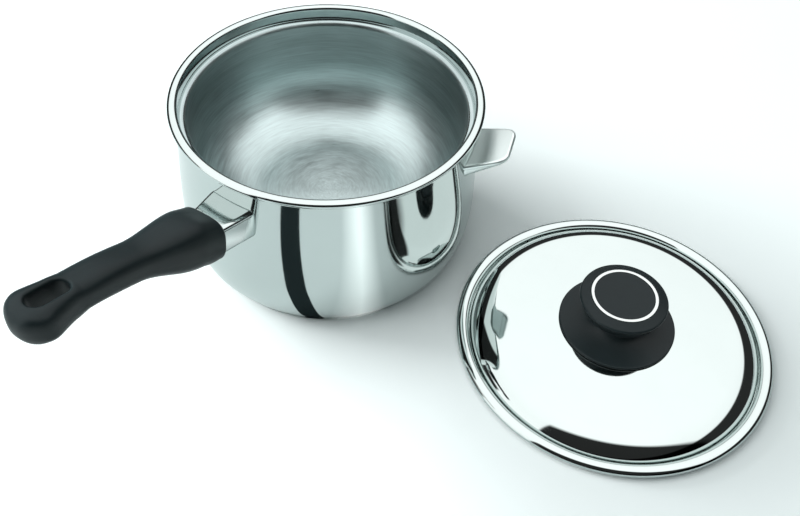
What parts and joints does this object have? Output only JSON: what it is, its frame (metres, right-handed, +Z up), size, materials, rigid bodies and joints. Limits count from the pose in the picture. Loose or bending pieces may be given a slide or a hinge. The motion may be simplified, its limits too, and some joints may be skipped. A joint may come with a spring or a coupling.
{
  "type": "double boiler",
  "caption": "One-piece double-walled simmering pot with a water jacket, welded filler spout, long black handle and a domed lid with a knob, the lid lying beside it.",
  "frame": {"origin": "centre of the base's underside, where the pot stands on the hob", "axes": "+Z up along the pot's axis, handle along -X, filler spout and lid towards -Y"},
  "size_m": [0.3158, 0.3549, 0.128],
  "materials": {
    "mirror_steel": "mirror polished stainless steel",
    "brushed_steel": "satin, brushed round the axis",
    "satin_steel": "satin",
    "aluminium_core": "as pressed",
    "black_phenolic": "satin moulded phenolic",
    "polished_ring": "polished",
    "brass_insert": "machined",
    "screw_steel": "zinc plated"
  },
  "bodies": {
    "pot": {"base_cap": "satin_steel", "base_core": "aluminium_core", "outer_shell": "mirror_steel", "inner_vessel": "brushed_steel", "spout_hood": "mirror_steel", "spout_trough": "mirror_steel", "handle_bracket": "satin_steel", "handle_guard": "mirror_steel", "handle_grip": "black_phenolic", "handle_insert": "brass_insert", "handle_screw": "screw_steel", "handle_washer": "screw_steel"},
    "lid": {"lid_shell": "mirror_steel", "knob_base": "black_phenolic", "knob_grip": "black_phenolic", "knob_ring": "polished_ring", "knob_disc": "black_phenolic", "knob_insert": "brass_insert", "knob_screw": "screw_steel", "knob_washer": "screw_steel"}
  },
  "joints": [
    {"name": "lid_lift", "type": "slide", "parent": "pot", "child": "lid", "axis": [0, 0, 1], "range_m": [0, 0.06]}
  ]
}
